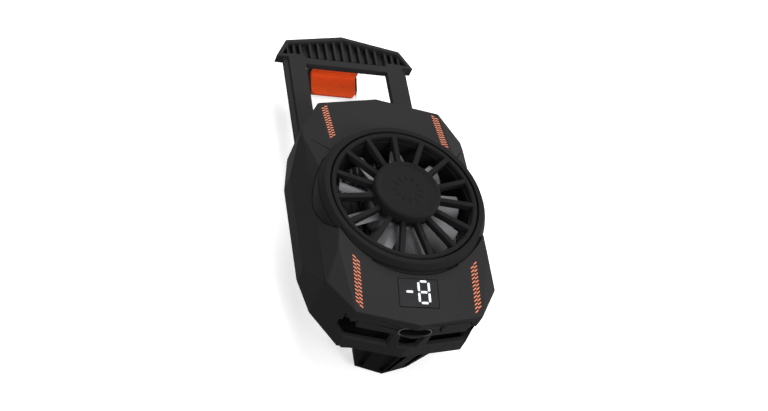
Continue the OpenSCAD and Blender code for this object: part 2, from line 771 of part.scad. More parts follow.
module rear_cover() {
  color("#2b2b2d")
  difference() {
    union() {
      translate([0, 0, rear_z - eps]) linear_extrude(plate_t + eps)
        polygon(inset(outline, wall + cover_play));
      translate([0, 0, block_z]) linear_extrude(rear_z - block_z) polygon(block_shape);
      lower_hook();
    }
    both_sides() translate([0, block_top + 1, 0]) rotate([90, 0, 0])
      linear_extrude(block_top + 1 - tunnel_end) leg_shape(leg_play);
    // stepped window of the cold plate
    translate([0, 0, -1]) linear_extrude(big) square([cold_w, cold_l] + [2, 2] * cold_play, center = true);
    translate([0, 0, cold_t / 2]) linear_extrude(big)
      square([cold_w, cold_l] + [2, 2] * (cold_step + cold_play), center = true);
    at_screws() translate([0, 0, rear_z - 1]) cylinder(r = screw_r + screw_play, h = plate_t + 2);
    at_screws() translate([0, 0, rear_z - 1]) cylinder(r = head_r + screw_play, h = 1 + head_h);
  }
}

module bezel_ring() {
  color("#303032")
  difference() {
    union() {
      translate([0, 0, seat_z]) linear_extrude(lobe_z - seat_z) lobed(0);
      rotate_extrude() polygon([[duct_r, sink_z + duct_gap], [duct_r + duct_wall, sink_z + duct_gap],
        [duct_r + duct_wall, seat_z], [ring_r, seat_z], [ring_r, ring_z - slope_h],
        [ring_r - slope_w, ring_z], [duct_r, ring_z]]);
    }
    cylinder(r = duct_r, h = big);
    translate([0, 0, guard_z]) cylinder(r = groove_r, h = big);
  }
}

module fan_guard() {
  color("#2a2a2c")
  difference() {
    union() {
      rotate_extrude() polygon([[guard_in_r, guard_z], [guard_out_r, guard_z],
        [guard_out_r, ring_z - guard_bevel], [guard_out_r - guard_bevel, ring_z],
        [guard_in_r + guard_bevel, ring_z], [guard_in_r, ring_z - guard_bevel]]);
      for (i = [0 : spokes - 1]) rotate(spoke_turn + i * 360 / spokes)
        translate([hub_r - bite, -spoke_w / 2, ring_z - spoke_drop - spoke_t])
          cube([guard_in_r - hub_r + 2 * bite, spoke_w, spoke_t]);
      translate([0, 0, hub_rear]) cylinder(r = hub_r, h = hub_t - spoke_drop);
      translate([0, 0, tube_rear]) cylinder(r = tube_r - eps, h = hub_rear - tube_rear + bite);
    }
    translate([0, 0, tube_rear - 1]) cylinder(r = bearing_r + eps, h = hub_rear - tube_rear + 1);
  }
}

module hub_cap() {
  color("#343436")
  difference() {
    rotate_extrude() {
      translate([0, cap_rear]) square([cap_r, cap_z - cap_round - cap_rear]);
      translate([0, ring_z]) square([cap_r - cap_round, cap_z - ring_z]);
      translate([cap_r - cap_round, cap_z - cap_round]) circle(cap_round);
    }
    // sloped dish and a plain ring of ticks
    translate([0, 0, cap_z - dish_h])
      cylinder(r1 = cap_r - rim_w - dish_w, r2 = cap_r - rim_w + dish_w, h = 2 * dish_h);
    for (i = [0 : ticks - 1]) rotate(i * 360 / ticks)
      translate([tick_r, -tick_w / 2, cap_z - dish_h - tick_h]) cube([tick_l, tick_w, 1]);
  }
}

// one cambered blade: a slice of a tube lying along the radius
module blade() {
  intersection() {
    translate([rotor_r - bite, -blade_curve / 2, rotor_z + blade_edge])
      cube([tip_r - rotor_r + bite, blade_curve, rotor_h - 2 * blade_edge]);
    translate([0, -blade_y, rotor_z - blade_drop]) rotate([0, 90, 0]) difference() {
      cylinder(r = blade_curve + blade_t, h = big);
      translate([0, 0, -1]) cylinder(r = blade_curve, h = big + 2);
    }
    cylinder(r = tip_r, h = big);
  }
}

module impeller() {
  color("#5a5c60")
  difference() {
    union() {
      difference() {
        translate([0, 0, rotor_z]) cylinder(r = rotor_r, h = rotor_h);
        translate([0, 0, rotor_z + rotor_floor]) cylinder(r = cup_in_r, h = rotor_h);
      }
      translate([0, 0, rotor_z]) cylinder(r = rotor_boss_r, h = rotor_boss_h);
      difference() {
        for (i = [0 : blades - 1]) rotate(i * 360 / blades) mirror([0, 1, 0]) blade();
        cylinder(r = rotor_r - rotor_wall / 2, h = big);
      }
    }
    translate([0, 0, rotor_z - 1]) cylinder(r = shaft_r + eps / 2, h = rotor_h);
  }
}

module magnet_ring() {
  color("#4a4642")
  translate([0, 0, rotor_z + rotor_floor + magnet_gap]) linear_extrude(magnet_h) difference() {
    circle(cup_in_r - eps);
    circle(magnet_r);
  }
}

module rotor_shaft() {
  color("#c8cacc")
  translate([0, 0, rotor_z]) cylinder(r = shaft_r, h = shaft_l);
}

module bearing_sleeve() {
  color("#b08d57")
  translate([0, 0, hub_rear - bearing_l - bite]) linear_extrude(bearing_l) difference() {
    circle(bearing_r);
    circle(shaft_r + shaft_play);
  }
}

// one pole of the stator seen from the front
module pole() {
  translate([yoke_r - bite, -tooth_w / 2]) square([shoe_r - yoke_r + 2 * bite, tooth_w]);
  intersection() {
    difference() {
      circle(stator_r);
      circle(shoe_r);
    }
    polygon([[0, 0], [2 * stator_r, -shoe_y], [2 * stator_r, shoe_y]]);
  }
}

module stator_core() {
  color("#8c8f94")
  translate([0, 0, core_z]) linear_extrude(core_h) difference() {
    union() {
      circle(yoke_r);
      for (a = [0 : 90 : 270]) rotate(a) pole();
    }
    circle(tube_r);
  }
}

module stator_coils() {
  color("#b5642c")
  for (a = [0 : 90 : 270]) rotate(a) translate([yoke_r + coil_play, 0, core_z + core_h / 2])
    rotate([90, 0, 90]) linear_extrude(coil_l) difference() {
      square([tooth_w, core_h] + [2, 2] * coil_t, center = true);
      square([tooth_w, core_h] + [2, 2] * eps, center = true);
    }
}

module motor_board() {
  color("#1f5a3a")
  translate([0, 0, hub_rear - motor_board_t - eps]) linear_extrude(motor_board_t) difference() {
    circle(cup_in_r - motor_board_play);
    circle(tube_r);
  }
}

module heatsink() {
  color("#c9ccd0")
  translate([-sink_w / 2, -sink_l / 2, sink_rear]) {
    cube([sink_w, sink_l, sink_base]);
    for (i = [0 : fins - 1]) translate([i * (sink_w - fin_t) / (fins - 1), 0, 0])
      cube([fin_t, sink_l, sink_z - sink_rear]);
  }
}

module peltier_module() {
  color("#e8e6e0")
  translate([0, 0, cold_t]) {
    for (z = [0, tec_t - ceramic_t]) translate([-tec_w / 2, -tec_l / 2, z]) cube([tec_w, tec_l, ceramic_t]);
    translate([ceramic_t - tec_w / 2, ceramic_t - tec_l / 2, 0])
      cube([tec_w - 2 * ceramic_t, tec_l - 2 * ceramic_t, tec_t]);
  }
}

module foam_gasket() {
  color("#1c1c1c")
  translate([0, 0, cold_t]) linear_extrude(plate_z - cold_t) difference() {
    square([cold_w, cold_l] + [2, 2] * cold_step, center = true);
    square([tec_w, tec_l] + [2, 2] * gasket_play, center = true);
  }
}

module cold_plate() {
  color("#d4d6d8")
  union() {
    linear_extrude(cold_t) square([cold_w, cold_l], center = true);
    translate([0, 0, cold_t / 2 + cold_play]) linear_extrude(cold_t / 2 - cold_play)
      square([cold_w, cold_l] + [2, 2] * cold_step, center = true);
  }
}

module control_board() {
  color("#20603c")
  translate([0, 0, board_z]) {
    linear_extrude(board_t) difference() {
      intersection() {
        polygon(inset(outline, wall + board_gap));
        translate([-board_x, -keel_y]) square([2 * board_x, keel_y - board_y]);
      }
      translate([-usb_w / 2 - usb_play, -keel_y]) square([usb_w + 2 * usb_play, usb_back + usb_l + usb_play]);
    }
    translate([-board_x + chip_w, -board_y - 1.3 * chip_w, board_t]) cube([chip_w, chip_w, chip_h]);
    both_sides() translate([usb_w / 2 + part_l, -board_y - 2 * part_l, board_t])
      cube([part_l, part_l, part_l / 2]);
  }
}

module usb_shell() {
  color("#b9bcc0")
  translate([0, 0, usb_z]) difference() {
    rod(usb_w, usb_h, usb_y, usb_l);
    rod(usb_w - 2 * usb_t, usb_h - 2 * usb_t, usb_y - 1, usb_l + 2);
  }
}

module usb_tongue() {
  color("#151515")
  translate([0, usb_y, usb_z]) {
    translate([-tongue_w / 2, tongue_back, -tongue_t / 2])
      cube([tongue_w, usb_l - tongue_back - eps, tongue_t]);
    rod(usb_w - 2 * usb_t - 2 * eps, usb_h - 2 * usb_t - 2 * eps, usb_l - usb_plug_t - eps, usb_plug_t);
  }
}

module display_module() {
  color("#1a1a1c")
  on_panel() translate([-win_w / 2 - module_over, win_y - module_over, -wall - module_t - eps])
    cube([win_w + 2 * module_over, win_h, module_t]);
}

// bars of the readout: place and turn of each
bars = concat([[-minus_x, 0, 0]],
  [for (j = [-1, 0, 1]) [digit_x, j * digit_h / 2, 0]],
  [for (s = [-1, 1], j = [-1, 1]) [digit_x + s * digit_w / 2, j * digit_h / 4, 90]]);

// all the bars, c larger all round
module readout(c) {
  for (b = bars) translate([b.x, b.y + digit_up - win_top - win_h / 2])
    rotate(b.z) oblong((b.z == 0 ? digit_w - bar_gap : digit_h / 2) - bar_gap + 2 * c, stroke + 2 * c);
}

module display_window() {
  color("#141416")
  on_panel() translate([0, 0, -win_t]) linear_extrude(win_t) difference() {
    translate([-win_w / 2, win_y]) square([win_w, win_h]);
    readout(eps);
  }
}

module display_segments() {
  color("#f4f6f8")
  on_panel() translate([0, 0, -win_t]) linear_extrude(win_t) readout(0);
}

module power_button() {
  color("#333335")
  on_keel() translate([button_x, 0, button_z]) {
    rod(button_l, button_h, -button_proud, button_proud + wall + button_shank);
    translate([-button_l / 2 - flange_l, wall + flange_gap, -button_h / 2])
      cube([button_l + 2 * flange_l, flange_t, button_h]);
  }
}

module tact_switch() {
  color("#8a8d92")
  on_keel() translate([button_x, wall + flange_gap + flange_t + button_travel + 0.05, button_z]) {
    rod(plunger_w, plunger_w - eps, 0, plunger_l + 1);
    translate([-switch_w / 2, plunger_l, board_z + board_t + eps - button_z])
      cube([switch_w, switch_d, switch_h]);
  }
}

// outline of the roof from one eave over the ridge to the other
eaves = [[-eave_x, eave_y], [-roof_x, roof_corner_y], [0, roof_y], [roof_x, roof_corner_y], [eave_x, eave_y]];
gable = [for (i = [4 : -1 : 0]) eaves[i]];
under = inset(gable, roof_t);

// places on the inner face of the jaw's lip, y running up to the lip's root
module on_lip() {
  translate([0, hook_y, lip_z])
    rotate([lip_tilt, 0, 0])
      children();
}

// tab hanging from y = 0 with two round lower corners: half width x, length l, corner radius r
module tab(x, l, r) {
  translate([-x, r - l]) square([2 * x, l - r]);
  translate([r - x, -l]) square([2 * (x - r), l]);
  for (s = [-1, 1]) translate([s * (x - r), r - l]) circle(r);
}

module clamp_frame() {
  color("#363638")
  union() {
    // roof rim
    translate([0, 0, roof_z]) linear_extrude(leg_z - roof_z) difference() {
      polygon(gable);
      polygon(under);
      translate([-leg_out_x, eave_y - 1]) square([2 * leg_out_x, 1 + roof_t + eps]);
    }
    // web behind the ribs, and its blocks under the legs
    translate([0, 0, roof_z]) linear_extrude(web_t) polygon(gable);
    both_sides() translate([leg_in_x, eave_y, roof_z])
      cube([leg_out_x - leg_in_x, leg_top - eave_y, leg_rear - roof_z + bite]);
    // ribs
    translate([0, 0, roof_z]) linear_extrude(leg_z - roof_z - rib_back) intersection() {
      polygon(gable);
      union() {
        for (i = [0 : mid_ribs - 1])
          translate([2 * rib_x * i / (mid_ribs - 1) - rib_x - rib_t / 2, bar_y + bar_h - bite])
            square([rib_t, big]);
        both_sides() for (i = [0 : 2])
          translate([leg_in_x + rib_t / 2 + i * leg_rib_step, leg_top - bite]) square([rib_t, big]);
      }
    }
    // crossbar with a bevelled upper edge, and its foot on the web
    translate([-leg_in_x - eps, bar_y, 0]) rotate([90, 0, 90]) linear_extrude(2 * (leg_in_x + eps))
      polygon([[0, leg_rear], [web_back, leg_rear], [web_back, roof_z], [bar_h, roof_z],
        [bar_h, leg_z - bar_bevel], [bar_h - bar_bevel, leg_z], [0, leg_z]]);
    // legs
    both_sides() translate([0, leg_top, 0]) rotate([90, 0, 0])
      linear_extrude(leg_top - leg_end_y) leg_shape(0);
    // hook: bridge, lip and the rim that holds the jaw pad
    translate([-lip_x, hook_y, lip_z - lip_t])
      cube([2 * lip_x, bridge_t, roof_z - lip_z + lip_t + web_t / 2]);
    on_lip() translate([0, bridge_t / 2, -lip_t]) linear_extrude(lip_t)
      tab(lip_x, pad_l - lip_back + bridge_t / 2, pad_r + lip_rim);
    on_lip() translate([0, 0, -bite]) linear_extrude(bite + pad_t - rim_drop) difference() {
      tab(lip_x, pad_l - lip_back, pad_r + lip_rim);
      translate([0, eps]) tab(pad_x + eps, pad_l + 2 * eps, pad_r);
    }
  }
}

module jaw_pad() {
  color("#d64416")
  union() {
    on_lip() linear_extrude(pad_t) tab(pad_x, pad_l, pad_r);
    translate([-pad_x, hook_y - seat_pad_t, lip_z + pad_t / 2])
      cube([2 * pad_x, seat_pad_t, roof_z - seat_pad_gap - lip_z - pad_t / 2]);
  }
}

module lower_pad() {
  color("#d64416")
  translate([-low_pad_x, low_seat, low_lip_z]) rotate([90, 0, 90]) linear_extrude(2 * low_pad_x) {
    square([low_pad_t, -low_pad_gap - low_lip_z]);
    square([low_lip_y - low_pad_end - low_seat, low_pad_t]);
  }
}

module case_screws() {
  color("#6e7276")
  at_screws() translate([0, 0, rear_z]) difference() {
    union() {
      cylinder(r = head_r, h = head_h - eps);
      cylinder(r = screw_r, h = screw_l);
    }
    for (a = [0, 90]) rotate(a) translate([-cross_l / 2, -cross_w / 2, -1])
      cube([cross_l, cross_w, cross_h + 1]);
  }
}

front_shell();
rear_cover();
bezel_ring();
fan_guard();
hub_cap();
impeller();
magnet_ring();
rotor_shaft();
bearing_sleeve();
stator_core();
stator_coils();
motor_board();
heatsink();
peltier_module();
foam_gasket();
cold_plate();
control_board();
usb_shell();
usb_tongue();
display_module();
display_window();
display_segments();
power_button();
tact_switch();
clamp_frame();
jaw_pad();
lower_pad();
case_screws();
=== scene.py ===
import json
import math

import bmesh
import bpy
from bpy.props import FloatProperty, FloatVectorProperty, IntProperty, PointerProperty
from mathutils import Matrix, Vector


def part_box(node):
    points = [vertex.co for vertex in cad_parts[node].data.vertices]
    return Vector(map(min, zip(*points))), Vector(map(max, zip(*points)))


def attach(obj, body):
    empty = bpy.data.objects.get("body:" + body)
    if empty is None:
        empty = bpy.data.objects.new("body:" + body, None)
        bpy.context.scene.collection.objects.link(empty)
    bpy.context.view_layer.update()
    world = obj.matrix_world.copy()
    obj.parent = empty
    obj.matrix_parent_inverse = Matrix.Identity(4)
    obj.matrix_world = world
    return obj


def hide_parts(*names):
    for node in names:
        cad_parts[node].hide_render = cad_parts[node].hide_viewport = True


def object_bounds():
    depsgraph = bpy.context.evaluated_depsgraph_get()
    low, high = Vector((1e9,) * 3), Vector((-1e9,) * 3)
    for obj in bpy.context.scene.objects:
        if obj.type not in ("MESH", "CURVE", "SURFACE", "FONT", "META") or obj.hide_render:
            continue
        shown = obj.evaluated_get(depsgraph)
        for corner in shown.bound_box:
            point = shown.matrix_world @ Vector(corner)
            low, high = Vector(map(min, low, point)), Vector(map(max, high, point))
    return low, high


bl_info = {
    "name": "Phone Cooler Dressing",
    "version": (1, 0, 0),
    "blender": (4, 5, 0),
    "location": "View3D > Sidebar > Cooler",
    "description": "Dresses the packed phone cooler with its finishes, rubber pads, printed marks and a photo stage",
    "category": "Object",
}

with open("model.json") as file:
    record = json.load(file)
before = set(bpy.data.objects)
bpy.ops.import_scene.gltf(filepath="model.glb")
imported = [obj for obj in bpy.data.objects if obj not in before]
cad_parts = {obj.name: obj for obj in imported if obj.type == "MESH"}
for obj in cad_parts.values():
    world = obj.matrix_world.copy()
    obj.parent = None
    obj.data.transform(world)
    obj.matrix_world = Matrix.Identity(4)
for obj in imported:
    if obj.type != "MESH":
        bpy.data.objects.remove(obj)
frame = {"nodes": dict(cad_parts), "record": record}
cad_box = [list(corner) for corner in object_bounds()]
MM = 0.001


def linear(code):
    """Turns an sRGB hex colour into linear red, green and blue."""
    parts = [int(code[i:i + 2], 16) / 255 for i in (0, 2, 4)]
    return [p / 12.92 if p <= 0.04045 else ((p + 0.055) / 1.055) ** 2.4 for p in parts]


class CoolerSizes(bpy.types.PropertyGroup):
    """Sizes of the dressing, in metres"""

    edge_round: FloatProperty(
        name="Edge Round", description="Width of the soft edge on the moulded shells",
        default=0.22 * MM, min=0.0, max=0.6 * MM, subtype="DISTANCE", unit="LENGTH", precision=5)
    trim_round: FloatProperty(
        name="Trim Round", description="Width of the soft edge on the fan's guard and trim",
        default=0.15 * MM, min=0.0, max=0.4 * MM, subtype="DISTANCE", unit="LENGTH", precision=5)
    pad_round: FloatProperty(
        name="Pad Round", description="Width of the soft edge on the rubber pads",
        default=0.2 * MM, min=0.0, max=0.4 * MM, subtype="DISTANCE", unit="LENGTH", precision=5)
    tip_round: FloatProperty(
        name="Pad Corner", description="Radius of the jaw pad's two free corners",
        default=1.5 * MM, min=0.5 * MM, max=3 * MM, subtype="DISTANCE", unit="LENGTH", precision=5)
    rib_depth: FloatProperty(
        name="Rib Depth", description="Depth of the grip grooves in the rubber pads",
        default=0.2 * MM, min=0.0, max=0.4 * MM, subtype="DISTANCE", unit="LENGTH", precision=5)
    dash_pitch: FloatProperty(
        name="Dash Pitch", description="Distance between two printed dashes along a strip",
        default=0.95 * MM, min=0.6 * MM, max=1.5 * MM, subtype="DISTANCE", unit="LENGTH", precision=5)
    dash_width: FloatProperty(
        name="Dash Width", description="Width of a printed dash along the strip",
        default=0.36 * MM, min=0.2 * MM, max=0.8 * MM, subtype="DISTANCE", unit="LENGTH", precision=5)
    dash_count: IntProperty(
        name="Dashes", description="Printed dashes in one column of a strip", default=13, min=4, max=24)
    column_width: FloatProperty(
        name="Column Width", description="Width of one of a strip's two columns of dashes",
        default=0.9 * MM, min=0.6 * MM, max=1.5 * MM, subtype="DISTANCE", unit="LENGTH", precision=5)


class CoolerColours(bpy.types.PropertyGroup):
    """Colours of the finishes"""

    housing: FloatVectorProperty(
        name="Housing", description="Charcoal plastic of the shells, the jaw and the button",
        subtype="COLOR", size=3, min=0.0, max=1.0, default=linear("313031"))
    fan: FloatVectorProperty(
        name="Fan Trim", description="Black plastic of the bezel, the guard and the cap",
        subtype="COLOR", size=3, min=0.0, max=1.0, default=linear("252425"))
    blades: FloatVectorProperty(
        name="Impeller", description="Smoky plastic of the impeller",
        subtype="COLOR", size=3, min=0.0, max=1.0, default=linear("8A8A8D"))
    pads: FloatVectorProperty(
        name="Pads", description="Silicone rubber of the two pads",
        subtype="COLOR", size=3, min=0.0, max=1.0, default=linear("FF581A"))
    ink: FloatVectorProperty(
        name="Ink", description="Ink of the printed strips",
        subtype="COLOR", size=3, min=0.0, max=1.0, default=linear("E88660"))
    digits: FloatVectorProperty(
        name="Digits", description="Lit bars of the readout",
        subtype="COLOR", size=3, min=0.0, max=1.0, default=linear("F6FAFF"))


def rgba(colour):
    """A colour as a shader socket takes it."""
    return (colour[0], colour[1], colour[2], 1.0)


def shade(colour, times):
    """The same colour, darker or lighter."""
    return rgba([min(1.0, c * times) for c in colour])


def per_mm(size):
    """The texture scale that draws a feature about size millimetres wide in a frame of metres."""
    return 1000.0 / size


def add(tree, kind, sockets=None, **settings):
    """Adds a node with its settings; a socket takes a value, or a link from another node's socket."""
    new = tree.nodes.new(kind)
    for name, value in settings.items():
        setattr(new, name, value)
    for name, value in (sockets or {}).items():
        if isinstance(value, bpy.types.NodeSocket):
            tree.links.new(value, new.inputs[name])
        else:
            new.inputs[name].default_value = value
    return new


def new_material(name):
    """An empty material, its tree and its Object coordinates."""
    mat = bpy.data.materials.new(name)
    mat.use_nodes = True
    mat.node_tree.nodes.clear()
    place = add(mat.node_tree, "ShaderNodeTexCoord").outputs["Object"]
    return mat, mat.node_tree, place


def grained_abs(name, colour, rough, grain_mm, relief):
    """ABS, moulded in a spark-eroded tool."""
    # The eroded tool leaves a matte skin of tiny pits, so light spreads wide and edges look soft.
    # The real pits are about 0.05 mm, too fine to show, so they are drawn coarser. They scatter the gloss away,
    # so almost no specular level is left.
    mat, tree, place = new_material(name)
    pits = add(tree, "ShaderNodeTexNoise", {"Vector": place, "Scale": per_mm(grain_mm), "Detail": 3.0})
    flow = add(tree, "ShaderNodeTexNoise", {"Vector": place, "Scale": per_mm(14.0), "Detail": 2.0})
    tone = add(tree, "ShaderNodeMix", {0: flow.outputs["Fac"], 6: shade(colour, 0.9), 7: shade(colour, 1.1)},
               data_type="RGBA")
    speck = add(tree, "ShaderNodeMix", {0: pits.outputs["Fac"], 6: tone.outputs[2], 7: shade(colour, 1.35)},
                data_type="RGBA", blend_type="MIX", clamp_factor=True)
    mild = add(tree, "ShaderNodeMix", {0: 0.35, 6: tone.outputs[2], 7: speck.outputs[2]}, data_type="RGBA")
    gloss = add(tree, "ShaderNodeMapRange", {"Value": pits.outputs["Fac"], "From Min": 0.3, "From Max": 0.7,
                                             "To Min": rough - 0.07, "To Max": rough + 0.07})
    bump = add(tree, "ShaderNodeBump", {"Height": pits.outputs["Fac"], "Strength": relief, "Distance": 0.03 * MM})
    skin = add(tree, "ShaderNodeBsdfPrincipled",
               {"Base Color": mild.outputs[2], "Roughness": gloss.outputs["Result"], "IOR": 1.54,
                "Specular IOR Level": 0.004, "Normal": bump.outputs["Normal"]})
    add(tree, "ShaderNodeOutputMaterial", {"Surface": skin.outputs["BSDF"]})
    return mat


def smoked_polycarbonate(name, colour, rough, level):
    """Polycarbonate, tinted and moulded in a polished tool."""
    # The polished tool gives broad clean highlights; faint flow marks run through the tint.
    mat, tree, place = new_material(name)
    flow = add(tree, "ShaderNodeTexNoise", {"Vector": place, "Scale": per_mm(5.0), "Detail": 3.0, "Distortion": 0.6})
    tone = add(tree, "ShaderNodeMix", {0: flow.outputs["Fac"], 6: shade(colour, 0.8), 7: shade(colour, 1.2)},
               data_type="RGBA")
    gloss = add(tree, "ShaderNodeMapRange", {"Value": flow.outputs["Fac"], "To Min": rough - 0.05,
                                             "To Max": rough + 0.05})
    bump = add(tree, "ShaderNodeBump", {"Height": flow.outputs["Fac"], "Strength": 0.04, "Distance": 0.05 * MM})
    skin = add(tree, "ShaderNodeBsdfPrincipled",
               {"Base Color": tone.outputs[2], "Roughness": gloss.outputs["Result"], "IOR": 1.58,
                "Specular IOR Level": level, "Normal": bump.outputs["Normal"]})
    add(tree, "ShaderNodeOutputMaterial", {"Surface": skin.outputs["BSDF"]})
    return mat


def silicone_rubber(name, colour):
    """Silicone rubber, compression moulded."""
    # The soft skin scatters light: a strong even colour, no sharp highlight, faint handling bloom.
    mat, tree, place = new_material(name)
    bloom = add(tree, "ShaderNodeTexNoise", {"Vector": place, "Scale": per_mm(3.0), "Detail": 4.0})
    skin_grain = add(tree, "ShaderNodeTexNoise", {"Vector": place, "Scale": per_mm(0.25), "Detail": 2.0})
    tone = add(tree, "ShaderNodeMix", {0: bloom.outputs["Fac"], 6: shade(colour, 0.9), 7: shade(colour, 1.1)},
               data_type="RGBA")
    gloss = add(tree, "ShaderNodeMapRange", {"Value": skin_grain.outputs["Fac"], "To Min": 0.55, "To Max": 0.75})
    bump = add(tree, "ShaderNodeBump", {"Height": skin_grain.outputs["Fac"], "Strength": 0.15,
                                        "Distance": 0.03 * MM})
    skin = add(tree, "ShaderNodeBsdfPrincipled",
               {"Base Color": tone.outputs[2], "Roughness": gloss.outputs["Result"], "IOR": 1.41,
                "Specular IOR Level": 0.3, "Normal": bump.outputs["Normal"]})
    add(tree, "ShaderNodeOutputMaterial", {"Surface": skin.outputs["BSDF"]})
    return mat


def printed_ink(name, colour):
    """Two-part ink, pad printed."""
    # The pad lays a thin film with small light and dark patches where the ink ran or starved.
    mat, tree, place = new_material(name)
    film = add(tree, "ShaderNodeTexNoise", {"Vector": place, "Scale": per_mm(0.5), "Detail": 3.0})
    tone = add(tree, "ShaderNodeMix", {0: film.outputs["Fac"], 6: shade(colour, 0.85), 7: shade(colour, 1.15)},
               data_type="RGBA")
    gloss = add(tree, "ShaderNodeMapRange", {"Value": film.outputs["Fac"], "To Min": 0.4, "To Max": 0.6})
    skin = add(tree, "ShaderNodeBsdfPrincipled",
               {"Base Color": tone.outputs[2], "Roughness": gloss.outputs["Result"], "IOR": 1.5,
                "Specular IOR Level": 0.3})
    add(tree, "ShaderNodeOutputMaterial", {"Surface": skin.outputs["BSDF"]})
    return mat


def drawn_metal(name, code, rough, line_mm, along):
    """A metal, extruded, rolled or drawn along one axis."""
    # The die leaves fine lines along the pull, which stretch each highlight across them.
    mat, tree, place = new_material(name)
    colour = linear(code)
    stretch = [1.0, 1.0, 1.0]
    stretch[along] = 0.04
    pull = add(tree, "ShaderNodeMapping", {"Vector": place, "Scale": stretch})
    lines = add(tree, "ShaderNodeTexNoise", {"Vector": pull.outputs["Vector"], "Scale": per_mm(line_mm),
                                             "Detail": 3.0})
    tone = add(tree, "ShaderNodeMix", {0: lines.outputs["Fac"], 6: shade(colour, 0.85), 7: shade(colour, 1.08)},
               data_type="RGBA")
    gloss = add(tree, "ShaderNodeMapRange", {"Value": lines.outputs["Fac"], "To Min": rough - 0.08,
                                             "To Max": rough + 0.08})
    bump = add(tree, "ShaderNodeBump", {"Height": lines.outputs["Fac"], "Strength": 0.12, "Distance": 0.02 * MM})
    skin = add(tree, "ShaderNodeBsdfPrincipled",
               {"Base Color": tone.outputs[2], "Metallic": 1.0, "Roughness": gloss.outputs["Result"],
                "Normal": bump.outputs["Normal"]})
    add(tree, "ShaderNodeOutputMaterial", {"Surface": skin.outputs["BSDF"]})
    return mat


def pressed_powder(name, code, rough, grain_mm, metallic):
    """A powder, pressed and fired or bonded."""
    # Grains and pores break the surface up, so it is dull, with small light and dark specks.
    mat, tree, place = new_material(name)
    colour = linear(code)
    grains = add(tree, "ShaderNodeTexVoronoi", {"Vector": place, "Scale": per_mm(grain_mm)})
    cloud = add(tree, "ShaderNodeTexNoise", {"Vector": place, "Scale": per_mm(2.5), "Detail": 3.0})
    tone = add(tree, "ShaderNodeMix", {0: cloud.outputs["Fac"], 6: shade(colour, 0.85), 7: shade(colour, 1.1)},
               data_type="RGBA")
    gloss = add(tree, "ShaderNodeMapRange", {"Value": grains.outputs["Distance"], "To Min": rough - 0.1,
                                             "To Max": rough + 0.1})
    bump = add(tree, "ShaderNodeBump", {"Height": grains.outputs["Distance"], "Strength": 0.2,
                                        "Distance": 0.03 * MM})
    skin = add(tree, "ShaderNodeBsdfPrincipled",
               {"Base Color": tone.outputs[2], "Metallic": metallic, "Roughness": gloss.outputs["Result"],
                "Normal": bump.outputs["Normal"]})
    add(tree, "ShaderNodeOutputMaterial", {"Surface": skin.outputs["BSDF"]})
    return mat


def enamelled_copper(name):
    """Copper wire, enamelled and wound."""
    # Round wires lie side by side under a clear enamel: the colour runs from dark copper, painted shade in the gaps
    # between wires, to light copper, a painted highlight on their tops.
    mat, tree, place = new_material(name)
    wire_shade_and_highlight_bands = add(tree, "ShaderNodeTexWave", {"Vector": place, "Scale": per_mm(0.3) / 6.28, "Distortion": 0.4},
                bands_direction="Z", wave_profile="SIN")
    tone = add(tree, "ShaderNodeMix",
               {0: wire_shade_and_highlight_bands.outputs["Fac"], 6: rgba(linear("5A2A12")), 7: rgba(linear("C26A33"))}, data_type="RGBA")
    bump = add(tree, "ShaderNodeBump", {"Height": wire_shade_and_highlight_bands.outputs["Fac"], "Strength": 0.6, "Distance": 0.1 * MM})
    skin = add(tree, "ShaderNodeBsdfPrincipled",
               {"Base Color": tone.outputs[2], "Metallic": 1.0, "Roughness": 0.3, "Coat Weight": 0.5,
                "Coat Roughness": 0.1, "Normal": bump.outputs["Normal"]})
    add(tree, "ShaderNodeOutputMaterial", {"Surface": skin.outputs["BSDF"]})
    return mat


def laminated_steel(name):
    """Electrical steel, punched in sheets and stacked."""
    # The edges of the 0.5 mm sheets show as fine bands, with dark insulation between them.
    mat, tree, place = new_material(name)
    sheets = add(tree, "ShaderNodeTexWave", {"Vector": place, "Scale": per_mm(0.5) / 6.28},
                 bands_direction="Z", wave_profile="SAW")
    tone = add(tree, "ShaderNodeMix",
               {0: sheets.outputs["Fac"], 6: rgba(linear("4A4B4E")), 7: rgba(linear("96989C"))}, data_type="RGBA")
    bump = add(tree, "ShaderNodeBump", {"Height": sheets.outputs["Fac"], "Strength": 0.3, "Distance": 0.03 * MM})
    skin = add(tree, "ShaderNodeBsdfPrincipled",
               {"Base Color": tone.outputs[2], "Metallic": 1.0, "Roughness": 0.45, "Normal": bump.outputs["Normal"]})
    add(tree, "ShaderNodeOutputMaterial", {"Surface": skin.outputs["BSDF"]})
    return mat


def masked_board(name):
    """Glass-epoxy board, etched and coated with solder mask."""
    # The mask is a glossy green film, lighter where copper tracks run under it.
    mat, tree, place = new_material(name)
    tracks = add(tree, "ShaderNodeTexBrick",
                 {"Vector": place, "Color1": rgba(linear("11532F")), "Color2": rgba(linear("0D4526")),
                  "Mortar": rgba(linear("2F7D4D")), "Scale": per_mm(2.0), "Mortar Size": 0.05, "Brick Width": 1.3})
    bump = add(tree, "ShaderNodeBump", {"Height": tracks.outputs["Fac"], "Strength": 0.2, "Distance": 0.03 * MM})
    skin = add(tree, "ShaderNodeBsdfPrincipled",
               {"Base Color": tracks.outputs["Color"], "Roughness": 0.3, "IOR": 1.55,
                "Normal": bump.outputs["Normal"]})
    add(tree, "ShaderNodeOutputMaterial", {"Surface": skin.outputs["BSDF"]})
    return mat


